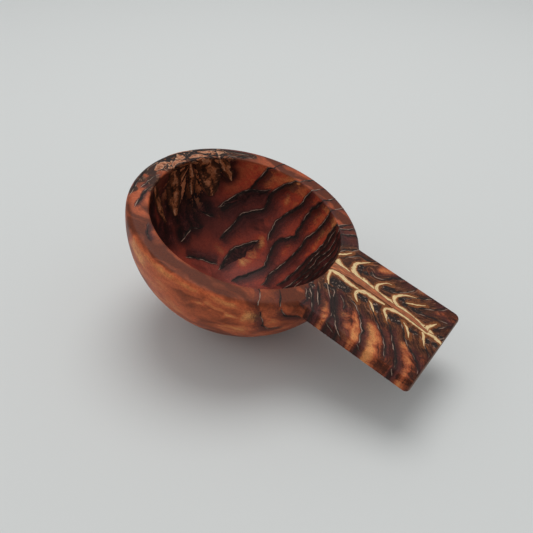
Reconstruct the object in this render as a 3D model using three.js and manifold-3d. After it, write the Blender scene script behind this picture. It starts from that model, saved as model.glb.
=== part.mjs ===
// Coffee scoop turned and cut from a pine cone cast in amber resin.
// One resin casting makes the round bowl and the flat handle. The cone lies lengthwise in it, and what
// the cuts left of it is inlaid flush: pith, wood, scales, and the basal rosette at the far rim.
// Millimetres. +X runs along the handle, +Z is up, and the scoop rests on its round bottom.

import * as THREE from 'three';
import { mergeVertices } from 'three/addons/utils/BufferGeometryUtils.js';
import Module from 'manifold-3d';

const wasm = await Module();
wasm.setup();

// Driving dimensions of the casting
const cavityRadius = 25;
const wall = 5.5;
const rimRounding = 1.2;
const handleLength = 26.3;
const handleWidth = 29;
const handleThickness = 3.8;
const handleCornerRadius = 1.6;
const handleArris = 0.8;
const restTiltDegrees = 16;

// Driving dimensions of the cone's pieces
const scaleThickness = 1.3;
const basalScaleWidth = 3.6;
const rosetteTipWidth = 1.9;
const woodWidth = 4.6;
const woodBranchWidth = 1.1;
const pithWidth = 2;
const clearance = 0.3;

// How far the cutting shapes run past the faces that they cut
const overrun = 2;

// How thin a scale gets at its edges
const edgeThicknessShare = 0.45;

// How deep the pieces are cut into what carries them
const scaleDepthShare = 0.55;
const woodDepthShare = 0.66;
const pithDepthShare = 0.32;
const wallDepthShare = 0.35;

// Fineness of the round shapes
const turnSegments = 48;
const sphereRings = 12;
const roundingSteps = 3;
const stepsPerSpan = 2;

const outerRadius = cavityRadius + wall;
const handleReach = outerRadius + handleLength;
const handleInletDepth = handleThickness * scaleDepthShare;
const wallInletDepth = wall * wallDepthShare;

// Colours and finishes
const finishes = {
  resin: { color: 0x8a4424, roughness: 0.35, metalness: 0 },
  pith: { color: 0x7d3f28, roughness: 0.5, metalness: 0 },
  wood: { color: 0xc9ab78, roughness: 0.55, metalness: 0 },
  scale: { color: 0x30201c, roughness: 0.6, metalness: 0 },
  basal: { color: 0x5c3b22, roughness: 0.6, metalness: 0 },
  tip: { color: 0xa0714a, roughness: 0.6, metalness: 0 },
};

// Spines on the handle's top, as shares: along from the cavity's edge to the handle's end, and across
// from the middle to the handle's side, positive on the far side.
const pithSpineShares = [[-0.05, 0.24], [0.2, 0.24], [0.4, 0.25], [0.6, 0.21], [0.75, 0.18], [0.87, 0.14]];
const woodSpineShares = [[-0.05, 0.24], [0.2, 0.25], [0.4, 0.26], [0.6, 0.21], [0.8, 0.17], [0.97, 0.13]];
const woodTaperShares = [1, 0.96, 0.86, 0.78, 0.62, 0.3];
const woodBranchShares = [
  [[0.03, 0.32], [0.06, 0.43], [0.12, 0.46]],
  [[0.17, 0.33], [0.12, 0.5], [0.17, 0.68]],
  [[0.36, 0.34], [0.38, 0.46], [0.46, 0.62]],
  [[0.52, 0.32], [0.53, 0.48], [0.63, 0.68]],
  [[0.8, 0.22], [0.85, 0.33], [0.93, 0.38]],
  [[0.08, 0.14], [0.06, -0.06], [0.1, -0.24]],
  [[0.3, 0.14], [0.3, -0.02], [0.34, -0.2]],
  [[0.56, 0.13], [0.54, 0], [0.6, -0.2]],
  [[0.86, 0.12], [0.87, -0.02], [0.92, -0.14]],
];
const nearScaleShares = {
  near_scale_1: [[-0.04, -0.48], [0.05, -0.7], [0.12, -1.02]],
  near_scale_2: [[0.06, -0.36], [0.13, -0.66], [0.2, -1.02]],
  near_scale_3: [[0.14, -0.22], [0.23, -0.6], [0.33, -1.02]],
  near_scale_4: [[0.25, -0.16], [0.37, -0.42], [0.46, -0.74], [0.53, -1.02]],
  near_scale_5: [[0.42, -0.1], [0.54, -0.34], [0.64, -0.66], [0.68, -0.94]],
  near_scale_6: [[0.66, -0.24], [0.75, -0.52], [0.81, -0.82], [0.83, -1.02]],
  near_scale_7: [[0.71, -0.05], [0.84, -0.38], [0.96, -0.68]],
  near_scale_8: [[0.84, -0.12], [0.92, -0.32], [1.02, -0.46]],
};
const farScaleShares = {
  far_scale_1: [[-0.07, 0.52], [0, 0.78], [0.06, 1.02]],
  far_scale_2: [[0.14, 0.84], [0.26, 0.66], [0.36, 0.72], [0.48, 1.02]],
  far_scale_3: [[0.43, 0.47], [0.52, 0.76], [0.6, 1.02]],
  far_scale_4: [[0.59, 0.5], [0.68, 0.74], [0.8, 1.02]],
  far_scale_5: [[0.68, 0.36], [0.8, 0.6], [0.94, 0.82]],
  far_scale_6: [[0.98, 0.3], [0.94, 0.44], [1.02, 0.56]],
};

// Spines on the rim, as azimuth in degrees and a share of the wall from the cavity outwards.
const rimScaleShares = {
  rim_scale_1: [[-135, 0.67], [-142, 0.44], [-150, 0.18]],
  rim_scale_2: [[-150, 0.61], [-158, 0.39], [-165, 0.22]],
  rim_scale_3: [[-149, 0.8], [-157, 0.76], [-166, 0.76]],
  rim_scale_4: [[149, 0.8], [139, 0.7], [127, 0.7]],
  rim_scale_5: [[146, 0.28], [136, 0.3], [126, 0.33]],
  rim_scale_6: [[-122, 0.18], [-115, 0.39], [-108, 0.44]],
};
const rosetteTipShares = {
  rosette_tip_1: [[176, 0.33], [169, 0.31]],
  rosette_tip_2: [[163, 0.33], [156, 0.39]],
  rosette_tip_3: [[174, 0.69], [163, 0.69]],
  rosette_tip_4: [[-176, 0.5], [-171, 0.6]],
  rosette_tip_5: [[156, 0.68], [152, 0.66]],
};

// Spines on the cavity's wall, as azimuth and depth below the rim, and where each crosses the rim, as
// azimuth at its outer and its inner edge, all in degrees.
const crossingScaleDegrees = {
  wall_scale_1: { rim: [106, 112], spine: [[113, 3], [120, 17], [129, 27], [144, 35]] },
  wall_scale_2: { rim: [86, 91], spine: [[93, 3], [106, 18], [108, 30], [121, 37], [132, 48], [143, 56]] },
  wall_scale_3: { rim: [77, 80], spine: [[81, 3], [85, 17], [93, 31], [91, 44]] },
  wall_scale_4: {
    rim: [69, 69],
    spine: [[70, 3], [74, 15], [74, 29], [81, 41], [77, 55], [72, 69], [82, 79]],
  },
  wall_scale_5: { rim: [61, 59], spine: [[59, 3], [61, 17], [63, 28], [60, 43], [54, 58], [35, 67]] },
  wall_scale_6: { rim: [50, 48], spine: [[48, 3], [49, 12], [48, 28], [42, 45], [28, 58]] },
  wall_scale_7: { rim: [43, 41], spine: [[41, 3], [39, 14], [38, 28], [31, 43], [18, 53]] },
  wall_scale_8: { rim: [37, 34], spine: [[32, 3], [27, 13], [27, 24], [20, 36], [6, 45]] },
  near_wall_scale_5: { rim: [-46, -45], spine: [[-45, 3], [-46, 16], [-45, 30], [-38, 46]] },
};
// Spines of scales that stop below the rim, as azimuth and depth.
const lowScaleDegrees = {
  near_wall_scale_1: [[-106, 13], [-110, 24], [-116, 34], [-125, 41]],
  near_wall_scale_2: [[-88, 14], [-92, 32], [-100, 45], [-112, 56]],
  near_wall_scale_3: [[-74, 12], [-75, 30], [-80, 45], [-76, 60]],
  near_wall_scale_4: [[-60, 12], [-62, 32], [-58, 46], [-48, 60]],
  floor_scale_1: [[148, 76], [126, 65], [112, 56], [104, 52]],
  floor_scale_2: [[-169, 49], [176, 47], [166, 46], [157, 47]],
  floor_scale_3: [[158, 33], [152, 38], [145, 43]],
  floor_scale_4: [[-159, 58], [-170, 63], [174, 70]],
};
const basalScaleDegrees = {
  basal_scale_1: [[-163, 9], [-164, 17], [-166, 26]],
  basal_scale_2: [[180, 9], [179, 20], [-179, 33]],
  basal_scale_3: [[165, 9], [164, 15], [166, 22]],
  basal_scale_4: [[152, 9], [151, 16], [149, 24]],
  basal_scale_5: [[139, 9], [137, 14]],
};

// Turns a three.js geometry into a solid that can be joined and cut.
function solidOf(geometry) {
  geometry.deleteAttribute('normal');
  geometry.deleteAttribute('uv');
  const merged = mergeVertices(geometry);
  const vertProperties = new Float32Array(merged.attributes.position.array);
  const triVerts = new Uint32Array(merged.index.array);
  return new wasm.Manifold(new wasm.Mesh({ numProp: 3, vertProperties, triVerts }));
}

function geometryOf(solid) {
  const { vertProperties, triVerts } = solid.getMesh();
  const geometry = new THREE.BufferGeometry();
  geometry.setAttribute('position', new THREE.BufferAttribute(new Float32Array(vertProperties), 3));
  geometry.setIndex(new THREE.BufferAttribute(new Uint32Array(triVerts), 1));
  geometry.computeVertexNormals();
  return geometry;
}

// The bowl before it is hollowed: half a ball with a flat, softly edged top.
function turnedBowl() {
  const shoulder = Math.asin(rimRounding / outerRadius);
  const shoulderRadius = outerRadius * Math.cos(shoulder);
  const profile = [];
  for (let i = 0; i <= sphereRings; i += 1) {
    const angle = -Math.PI / 2 + ((Math.PI / 2 - shoulder) * i) / sphereRings;
    profile.push(new THREE.Vector2(outerRadius * Math.cos(angle), outerRadius * Math.sin(angle)));
  }
  for (let i = 1; i <= roundingSteps; i += 1) {
    const angle = (Math.PI / 2) * (i / roundingSteps);
    const x = shoulderRadius - rimRounding + rimRounding * Math.cos(angle);
    profile.push(new THREE.Vector2(x, rimRounding * (Math.sin(angle) - 1)));
  }
  profile[0].x = 0;
  profile.push(new THREE.Vector2(0, 0));
  const geometry = new THREE.LatheGeometry(profile, turnSegments);
  geometry.rotateX(Math.PI / 2);
  return solidOf(geometry);
}

// The hollow that holds the coffee.
function cavity() {
  const geometry = new THREE.SphereGeometry(cavityRadius, turnSegments, 2 * sphereRings);
  geometry.rotateX(Math.PI / 2);
  return solidOf(geometry);
}

// The flat handle, level with the rim on top, its arrises eased.
function handleBlade() {
  const half = handleWidth / 2;
  const corner = handleReach - handleCornerRadius;
  const outline = new THREE.Shape();
  outline.moveTo(0, -half);
  outline.lineTo(corner, -half);
  outline.absarc(corner, -half + handleCornerRadius, handleCornerRadius, -Math.PI / 2, 0);
  outline.lineTo(handleReach, half - handleCornerRadius);
  outline.absarc(corner, half - handleCornerRadius, handleCornerRadius, 0, Math.PI / 2);
  outline.lineTo(0, half);
  const geometry = new THREE.ExtrudeGeometry(outline, {
    depth: handleThickness - 2 * handleArris,
    bevelThickness: handleArris,
    bevelSize: handleArris,
    bevelOffset: -handleArris,
    bevelSegments: roundingSteps,
    curveSegments: 2 * roundingSteps,
  });
  geometry.translate(0, 0, handleArris - handleThickness);
  return solidOf(geometry);
}

// Points along a smooth spine, its ends drawn out by reach.
function smoothSpine(points, reach) {
  const drawn = points.map((point) => point.clone());
  const last = drawn.length - 1;
  const start = drawn[0].clone().sub(drawn[1]).setLength(reach);
  const end = drawn[last].clone().sub(drawn[last - 1]).setLength(reach);
  drawn[0].add(start);
  drawn[last].add(end);
  return new THREE.CatmullRomCurve3(drawn, false, 'centripetal').getPoints(last * stepsPerSpan);
}

// A scale is thickest at its middle and thins to its two edges.
function scaleSwell(place) {
  return edgeThicknessShare + (1 - edgeThicknessShare) * Math.sin(Math.PI * place);
}

// Half widths along a spine, worked out from the named shares at even places.
function taperOf(shares) {
  return (place) => {
    const at = place * (shares.length - 1);
    const before = Math.min(Math.floor(at), shares.length - 2);
    return THREE.MathUtils.lerp(shares[before], shares[before + 1], at - before);
  };
}

// An upright plate along a spine seen from above, from the top face down to depth.
function uprightPlate(points, width, depth, swell, grow) {
  const spine = smoothSpine(points, grow);
  const left = [];
  const right = [];
  spine.forEach((point, i) => {
    const before = spine[Math.max(i - 1, 0)];
    const after = spine[Math.min(i + 1, spine.length - 1)];
    const side = new THREE.Vector2(before.y - after.y, after.x - before.x).normalize();
    const half = (width / 2) * swell(i / (spine.length - 1)) + grow;
    left.push(new THREE.Vector2(point.x, point.y).addScaledVector(side, half));
    right.unshift(new THREE.Vector2(point.x, point.y).addScaledVector(side, -half));
  });
  const outline = new THREE.Shape(right.concat(left));
  const geometry = new THREE.ExtrudeGeometry(outline, { depth: overrun + depth + grow, bevelEnabled: false });
  geometry.translate(0, 0, -depth - grow);
  return solidOf(geometry);
}

// A plate set radially in the bowl's wall, along a spine on the cavity's surface.
function wallPlate(points, width, depth, grow) {
  const spine = smoothSpine(points, grow);
  const near = cavityRadius - overrun;
  const far = cavityRadius + depth + grow;
  const positions = [];
  spine.forEach((point, i) => {
    const before = spine[Math.max(i - 1, 0)];
    const after = spine[Math.min(i + 1, spine.length - 1)];
    const out = point.clone().normalize();
    const side = after.clone().sub(before).cross(out).normalize();
    const half = (width / 2) * scaleSwell(i / (spine.length - 1)) + grow;
    const turn = half / cavityRadius;
    [[near, -turn], [far, -turn], [far, turn], [near, turn]].forEach(([radius, lean]) => {
      positions.push(...out.clone().addScaledVector(side, lean).normalize().multiplyScalar(radius).toArray());
    });
  });
  const corners = 4;
  const faces = [];
  for (let i = 0; i < spine.length - 1; i += 1) {
    for (let k = 0; k < corners; k += 1) {
      const a = i * corners + k;
      const b = i * corners + ((k + 1) % corners);
      faces.push(a, b, a + corners, b, b + corners, a + corners);
    }
  }
  const first = 0;
  const last = (spine.length - 1) * corners;
  faces.push(first, first + 2, first + 1, first, first + 3, first + 2);
  faces.push(last, last + 1, last + 2, last, last + 2, last + 3);
  const geometry = new THREE.BufferGeometry();
  geometry.setAttribute('position', new THREE.BufferAttribute(new Float32Array(positions), 3));
  geometry.setIndex(faces);
  return solidOf(geometry);
}

function onHandle([along, across]) {
  const x = cavityRadius + along * (handleReach - cavityRadius);
  return new THREE.Vector3(x, (across * handleWidth) / 2, 0);
}

function onRim([azimuth, wallShare]) {
  const turn = THREE.MathUtils.degToRad(azimuth);
  return new THREE.Vector3(Math.cos(turn), Math.sin(turn), 0).multiplyScalar(cavityRadius + wall * wallShare);
}

function onWall([azimuth, depth]) {
  const turn = THREE.MathUtils.degToRad(azimuth);
  const drop = THREE.MathUtils.degToRad(depth);
  const level = Math.cos(drop);
  const point = new THREE.Vector3(level * Math.cos(turn), level * Math.sin(turn), -Math.sin(drop));
  return point.multiplyScalar(cavityRadius);
}

// A wall scale goes down the cavity and also crosses the rim to its outer edge.
function rimCrossingScale({ rim, spine }, grow) {
  const [outerAzimuth, innerAzimuth] = rim;
  const outer = onRim([outerAzimuth, 1]);
  const inner = onRim([innerAzimuth, 0]);
  const beyond = outer.clone().sub(inner).setLength(overrun);
  const crossing = [outer.add(beyond), inner.sub(beyond)];
  const across = uprightPlate(crossing, scaleThickness, wallInletDepth, () => 1, grow);
  const down = [[innerAzimuth, 0], ...spine];
  return across.add(wallPlate(down.map(onWall), scaleThickness, wallInletDepth, grow));
}

function woodPlate(grow) {
  const depth = handleThickness * woodDepthShare;
  let wood = uprightPlate(woodSpineShares.map(onHandle), woodWidth, depth, taperOf(woodTaperShares), grow);
  woodBranchShares.forEach((branch) => {
    wood = wood.add(uprightPlate(branch.map(onHandle), woodBranchWidth, depth, scaleSwell, grow));
  });
  return wood;
}

function pithPlate(grow) {
  const taper = taperOf(woodTaperShares);
  return uprightPlate(pithSpineShares.map(onHandle), pithWidth, handleThickness * pithDepthShare, taper, grow);
}

function handleScale(spine, grow) {
  return uprightPlate(spine.map(onHandle), scaleThickness, handleInletDepth, scaleSwell, grow);
}

function rimScale(spine, grow) {
  return uprightPlate(spine.map(onRim), scaleThickness, wallInletDepth, scaleSwell, grow);
}

function rosetteTip(spine, grow) {
  return uprightPlate(spine.map(onRim), rosetteTipWidth, wallInletDepth, () => 1, grow);
}

function lowScale(spine, grow) {
  return wallPlate(spine.map(onWall), scaleThickness, wallInletDepth, grow);
}

function basalScale(spine, grow) {
  return wallPlate(spine.map(onWall), basalScaleWidth, wallInletDepth, grow);
}

const scoop = new THREE.Group();
const blank = turnedBowl().add(handleBlade()).subtract(cavity());
let casting = blank;
let taken = null;

function addMesh(name, solid, finish) {
  const mesh = new THREE.Mesh(geometryOf(solid), new THREE.MeshStandardMaterial(finishes[finish]));
  mesh.name = name;
  scoop.add(mesh);
}

// Lets a piece of the cone into the casting: flush with every cut face, in a pocket of its own.
function inlay(name, finish, shapeOf) {
  let piece = shapeOf(0).intersect(blank);
  if (taken) piece = piece.subtract(taken);
  const pocket = shapeOf(clearance);
  casting = casting.subtract(pocket);
  taken = taken ? taken.add(pocket) : pocket;
  return { name, finish, piece };
}

function inlayAll(table, finish, shapeOf) {
  return Object.entries(table).map(([name, spine]) => inlay(name, finish, (grow) => shapeOf(spine, grow)));
}

const wood = inlay('cone_wood', 'wood', woodPlate);
wood.piece = wood.piece.subtract(pithPlate(clearance));
const pith = { name: 'cone_pith', finish: 'pith', piece: pithPlate(0).intersect(blank) };
casting = casting.subtract(pithPlate(clearance));

const pieces = [
  wood,
  pith,
  ...inlayAll(nearScaleShares, 'scale', handleScale),
  ...inlayAll(farScaleShares, 'scale', handleScale),
  ...inlayAll(crossingScaleDegrees, 'scale', rimCrossingScale),
  ...inlayAll(lowScaleDegrees, 'scale', lowScale),
  ...inlayAll(basalScaleDegrees, 'basal', basalScale),
  ...inlayAll(rosetteTipShares, 'tip', rosetteTip),
  ...inlayAll(rimScaleShares, 'scale', rimScale),
];

addMesh('resin_casting', casting, 'resin');
pieces.forEach(({ name, finish, piece }) => addMesh(name, piece, finish));

// The scoop balances on its round bottom, with the handle's end hanging lower than the rim.
// Its origin is on the table, midway between its two ends.
const tilt = THREE.MathUtils.degToRad(restTiltDegrees);
const arrisCentre = handleReach - handleArris;
const levelReach = arrisCentre * Math.cos(tilt) - handleArris * Math.sin(tilt) + handleArris;
scoop.rotation.y = tilt;
scoop.position.x = (outerRadius - levelReach) / 2;
scoop.position.z = outerRadius;

const spoon = new THREE.Group();
spoon.add(scoop);
spoon.updateMatrixWorld(true);

export default spoon;
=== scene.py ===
"""Coffee scoop turned from a pine cone cast in amber resin, dressed for its photograph."""

import math

import bmesh
import bpy
import numpy as np
from mathutils import Matrix, Vector, noise
from mathutils.bvhtree import BVHTree


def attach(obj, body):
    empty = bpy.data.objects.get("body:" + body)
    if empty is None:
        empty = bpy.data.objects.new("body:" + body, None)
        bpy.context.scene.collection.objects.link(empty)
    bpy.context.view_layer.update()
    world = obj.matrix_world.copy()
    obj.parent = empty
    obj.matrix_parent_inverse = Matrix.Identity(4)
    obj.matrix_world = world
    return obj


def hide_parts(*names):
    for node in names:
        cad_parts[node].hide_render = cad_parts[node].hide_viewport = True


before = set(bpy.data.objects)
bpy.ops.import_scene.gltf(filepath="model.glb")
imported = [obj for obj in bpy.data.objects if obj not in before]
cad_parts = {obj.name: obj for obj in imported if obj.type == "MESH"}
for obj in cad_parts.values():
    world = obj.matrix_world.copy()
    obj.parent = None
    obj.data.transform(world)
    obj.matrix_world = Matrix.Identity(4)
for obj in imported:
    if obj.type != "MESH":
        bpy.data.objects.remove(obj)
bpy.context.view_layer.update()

bl_info = {
    "name": "Pine Cone Coffee Scoop",
    "version": (1, 0, 0),
    "blender": (4, 5, 0),
    "location": "View3D > Sidebar > Scoop",
    "description": "Builds a resin coffee scoop with a pine cone cast in it",
    "category": "Add Mesh",
}

MM = 0.001

# Scales that the walls cut across, each from the outside over the rim to the floor of the bowl.
# rim: azimuth at the outer and at the inner edge; wall: azimuth and depth below the rim, in degrees;
# outer: the same up the outside, where it doesn't follow the inside; width in millimetres.
CROSSING_SCALES = {
    "wall_scale_1": {
        "rim": (105, 110),
        "wall": [
            (113, 0), (116, 8), (118, 12), (120, 17), (123, 23), (129, 26), (135, 30), (138, 33),
            (143, 34),
        ],
        "width": 0.9,
    },
    "wall_scale_2": {
        "rim": (86, 90),
        "wall": [
            (93, 0), (96, 4), (100, 8), (104, 14), (106, 18), (106, 24), (107, 29), (113, 32), (121, 36),
            (125, 40), (130, 47), (135, 50), (143, 56),
        ],
        "width": 1.0,
    },
    "wall_scale_3": {
        "rim": (77, 80),
        "wall": [(80, 0), (82, 6), (83, 12), (86, 19), (90, 26), (93, 31), (93, 36), (92, 43), (90, 46)],
        "width": 0.85,
    },
    "wall_scale_4": {
        "rim": (69, 69),
        "wall": [
            (69, 0), (70, 2), (74, 10), (75, 20), (74, 29), (73, 32), (81, 40), (83, 46), (79, 52),
            (74, 58), (70, 61), (72, 69), (83, 80), (79, 86),
        ],
        "width": 0.9,
    },
    "wall_scale_5": {
        "rim": (61, 59),
        "wall": [
            (59, 0), (59, 5), (60, 11), (61, 17), (63, 24), (64, 29), (62, 33), (60, 43), (57, 53),
            (54, 60), (44, 64), (35, 67),
        ],
        "width": 0.85,
    },
    "wall_scale_6": {
        "rim": (48, 45),
        "wall": [(47, 0), (49, 7), (49, 12), (48, 18), (48, 30), (47, 35), (45, 40), (41, 46), (31, 57)],
        "width": 1.4,
    },
    "wall_scale_7": {
        "rim": (44, 42),
        "wall": [(41, 0), (41, 3), (39, 9), (39, 17), (41, 24), (38, 30), (33, 41), (28, 47), (20, 54)],
        "width": 1.4,
    },
    "wall_scale_8": {
        "rim": (39, 37),
        "wall": [(36, 0), (33, 2), (26, 6), (28, 15), (28, 22), (27, 27), (23, 33), (14, 41), (4, 46)],
        "width": 1.6,
    },
    "near_wall_scale_5": {
        "rim": (-48, -46),
        "wall": [(-45, 0), (-46, 8), (-46, 16), (-45, 30), (-38, 46)],
        "outer": [(-31, 17), (-36, 18), (-40, 17), (-43, 12), (-46, 4)],
        "width": 0.8,
    },
}
# A short crossing beside the handle, part of the first scale on the handle's near side.
NECK_CROSSING = {
    "rim": (-38, -35),
    "wall": [],
    "outer": [(-22, 11), (-29, 8), (-34, 6), (-37, 2)],
    "width": 0.8,
}
# A dark blade that the first scale widens into below the rim: route on the wall, width and wedge.
BLADE = ([(107, 15), (112, 18), (120, 20), (128, 24), (136, 30), (143, 35)], 0.9, 1.9)
# Thin second layers of the three scales nearest the handle: route on the wall and width.
THIN_LAYERS = {
    "wall_scale_6": ([(45, 3), (46, 10), (44.5, 18), (45, 26), (42.5, 34), (37, 43)], 0.65),
    "wall_scale_7": ([(37, 3), (33.5, 9), (34, 16), (35.5, 24), (32.5, 31), (27, 40), (20, 47)], 0.65),
    "wall_scale_8": ([(30, 1), (21.5, 5), (22.5, 13), (22, 20), (20, 27), (12, 36)], 0.7),
}
# Scales that stop below the rim: route on the wall, width and, for one, how far it widens to a wedge.
LOW_SCALES = {
    "near_wall_scale_1": ([(-106, 13), (-110, 24), (-116, 34), (-125, 41)], 0.5),
    "near_wall_scale_2": ([(-88, 14), (-92, 32), (-100, 45), (-112, 56)], 0.6),
    "near_wall_scale_3": ([(-74, 12), (-75, 30), (-80, 45), (-76, 60)], 0.65),
    "near_wall_scale_4": ([(-60, 12), (-62, 32), (-58, 46), (-48, 60)], 0.7),
    "floor_scale_1": (
        [(98, 49), (106, 54), (113, 58), (125, 63), (132, 68), (149, 76), (159, 78)],
        0.9,
        3.2,
    ),
    "floor_scale_2": ([(-169, 49), (176, 47), (171, 45), (165, 47), (157, 46)], 0.9),
    "floor_scale_3": ([(160, 35), (157, 37), (153, 39), (145, 42)], 1.0),
    "floor_scale_4": ([(-159, 58), (-169, 63), (179, 67), (174, 70), (153, 74)], 0.8),
}
# The cone's base, each a route and its half widths: broad scales on the wall, and their cut ends on the
# rim, as azimuth and a share of the wall from the cavity outwards.
BASAL_SCALES = {
    "basal_scale_1": ([(-157, 3), (-160, 12), (-162, 22), (-164, 32)], (0.8, 1.6, 1.6, 1.3, 0.4)),
    "basal_scale_2": ([(180, 3), (-179, 12), (-179, 21), (-177, 33)], (1.9, 2.9, 3.0, 2.4, 0.8)),
    "basal_scale_3": ([(167, 2), (165, 10), (164, 18), (165, 24)], (0.4, 1.0, 1.3, 1.1, 0.4)),
    "basal_scale_4": ([(159, 1), (153, 8), (150, 17), (149, 27)], (2.0, 3.2, 3.3, 2.6, 0.8)),
    "basal_scale_5": ([(145, 1), (141, 6), (138, 11), (135, 16)], (0.8, 1.5, 1.4, 1.0, 0.3)),
}
ROSETTE_TIPS = {
    "rosette_tip_1": ([(-179, 0.05), (179, 0.2), (175, 0.27), (170, 0.1)], (0.3, 0.9, 1.0, 0.3)),
    "rosette_tip_2": ([(166, 0.26), (162, 0.3), (158, 0.28), (154, 0.22)], (0.3, 0.9, 0.9, 0.2)),
    "rosette_tip_3": ([(176, 0.9), (171, 0.9), (166, 0.86), (162, 0.8)], (0.2, 0.5, 0.5, 0.2)),
    "rosette_tip_4": ([(-168, 0.44), (-173, 0.5), (-177, 0.52), (180, 0.42)], (0.4, 1.2, 1.2, 0.3)),
    "rosette_tip_5": ([(158, 0.6), (154, 0.52), (150, 0.52), (147, 0.45)], (0.2, 0.8, 0.7, 0.2)),
}
# Thin scales on the rim beside them: route and width.
RIM_SCALES = {
    "rim_scale_1": ([(-156, 0.05), (-149, 0.28), (-141, 0.41), (-134, 0.66)], 0.75),
    "rim_scale_2": ([(-167, 0.15), (-160, 0.3), (-153, 0.43), (-150, 0.56)], 0.7),
    "rim_scale_3": ([(-142, 0.9), (-154, 0.78), (-163, 0.8), (-170, 0.82), (-178, 0.8)], 1.1),
    "rim_scale_4": ([(160, 0.72), (151, 0.66), (142, 0.62), (134, 0.55), (124, 0.58)], 1.0),
    "rim_scale_5": ([(152, 0.2), (142, 0.25), (133, 0.2), (124, 0.3)], 0.9),
    "rim_scale_6": ([(-122, 0.16), (-115, 0.42), (-108, 0.5)], 0.3),
}
# On the handle: along from the cavity's edge to the handle's end, across from the middle to the far side.
# Past 1 a route goes on down the handle's side. The wood's bands have half widths too.
PITH = [
    (-0.02, 0.2), (0.07, 0.225), (0.12, 0.235), (0.21, 0.245), (0.3, 0.245), (0.4, 0.23), (0.49, 0.215),
    (0.57, 0.22), (0.65, 0.22), (0.74, 0.205), (0.87, 0.14),
]
PITH_HALF_WIDTHS = (1.26, 1.2, 1.14, 1.08, 0.96, 0.78, 0.6, 0.72, 0.78, 0.6, 0.14)
WOOD_BANDS = [
    (
        [
            (-0.02, 0.4), (0.03, 0.35), (0.12, 0.31), (0.19, 0.325), (0.24, 0.345), (0.31, 0.32),
            (0.39, 0.29), (0.45, 0.28), (0.51, 0.29), (0.57, 0.285), (0.62, 0.285), (0.7, 0.265),
            (0.78, 0.24), (0.86, 0.215), (0.91, 0.18),
        ],
        (1.25, 0.87, 0.44, 0.75, 0.94, 0.81, 0.62, 0.69, 0.56, 0.69, 0.87, 0.75, 0.62, 0.75, 0.37),
    ),
    (
        [(0.0, 0.04), (0.05, 0.09), (0.1, 0.1), (0.17, 0.075), (0.22, 0.06), (0.27, 0.085)],
        (0.37, 0.94, 1, 0.87, 0.75, 0.31),
    ),
    (
        [(0.27, 0.0), (0.31, 0.08), (0.37, 0.11), (0.43, 0.11), (0.5, 0.125)],
        (0.5, 0.94, 0.87, 0.75, 0.25),
    ),
    (
        [
            (0.52, 0.05), (0.56, 0.11), (0.61, 0.15), (0.67, 0.16), (0.73, 0.15), (0.8, 0.14),
            (0.87, 0.13), (0.93, 0.14), (1.0, 0.11),
        ],
        (0.37, 0.81, 0.69, 0.62, 0.69, 0.62, 0.62, 0.75, 0.44),
    ),
    (
        [(0.24, 0.33), (0.17, 0.36), (0.13, 0.44), (0.12, 0.59), (0.15, 0.71), (0.19, 0.84)],
        (0.75, 0.94, 0.81, 0.62, 0.37, 0.12),
    ),
    (
        [(0.39, 0.3), (0.36, 0.38), (0.365, 0.49), (0.4, 0.61), (0.44, 0.66)],
        (0.62, 0.56, 0.37, 0.25, 0.1),
    ),
    (
        [(0.58, 0.28), (0.53, 0.35), (0.52, 0.44), (0.54, 0.55), (0.59, 0.66), (0.65, 0.73)],
        (0.62, 0.81, 0.62, 0.44, 0.25, 0.1),
    ),
    ([(0.61, 0.46), (0.65, 0.53), (0.69, 0.59), (0.74, 0.69)], (0.12, 0.28, 0.25, 0.1)),
    ([(0.84, 0.21), (0.86, 0.34), (0.885, 0.46)], (0.87, 0.5, 0.12)),
    ([(-0.04, 0.54), (0.0, 0.65), (0.03, 0.78)], (0.44, 0.37, 0.12)),
    ([(0.02, 0.06), (0.03, -0.05), (0.05, -0.14), (0.085, -0.25)], (0.62, 0.5, 0.37, 0.12)),
    ([(0.275, 0.02), (0.28, -0.07), (0.3, -0.13), (0.335, -0.2)], (0.62, 0.5, 0.37, 0.12)),
    ([(0.39, -0.02), (0.42, -0.06), (0.45, -0.12), (0.475, -0.18)], (0.12, 0.37, 0.35, 0.1)),
    ([(0.525, 0.06), (0.53, -0.02), (0.56, -0.09), (0.59, -0.18)], (0.5, 0.5, 0.37, 0.1)),
    ([(0.69, 0.02), (0.73, -0.04), (0.76, -0.12), (0.785, -0.21)], (0.12, 0.37, 0.37, 0.1)),
    ([(0.84, 0.09), (0.86, 0.03), (0.88, -0.07), (0.905, -0.17)], (0.5, 0.44, 0.37, 0.1)),
]
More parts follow.
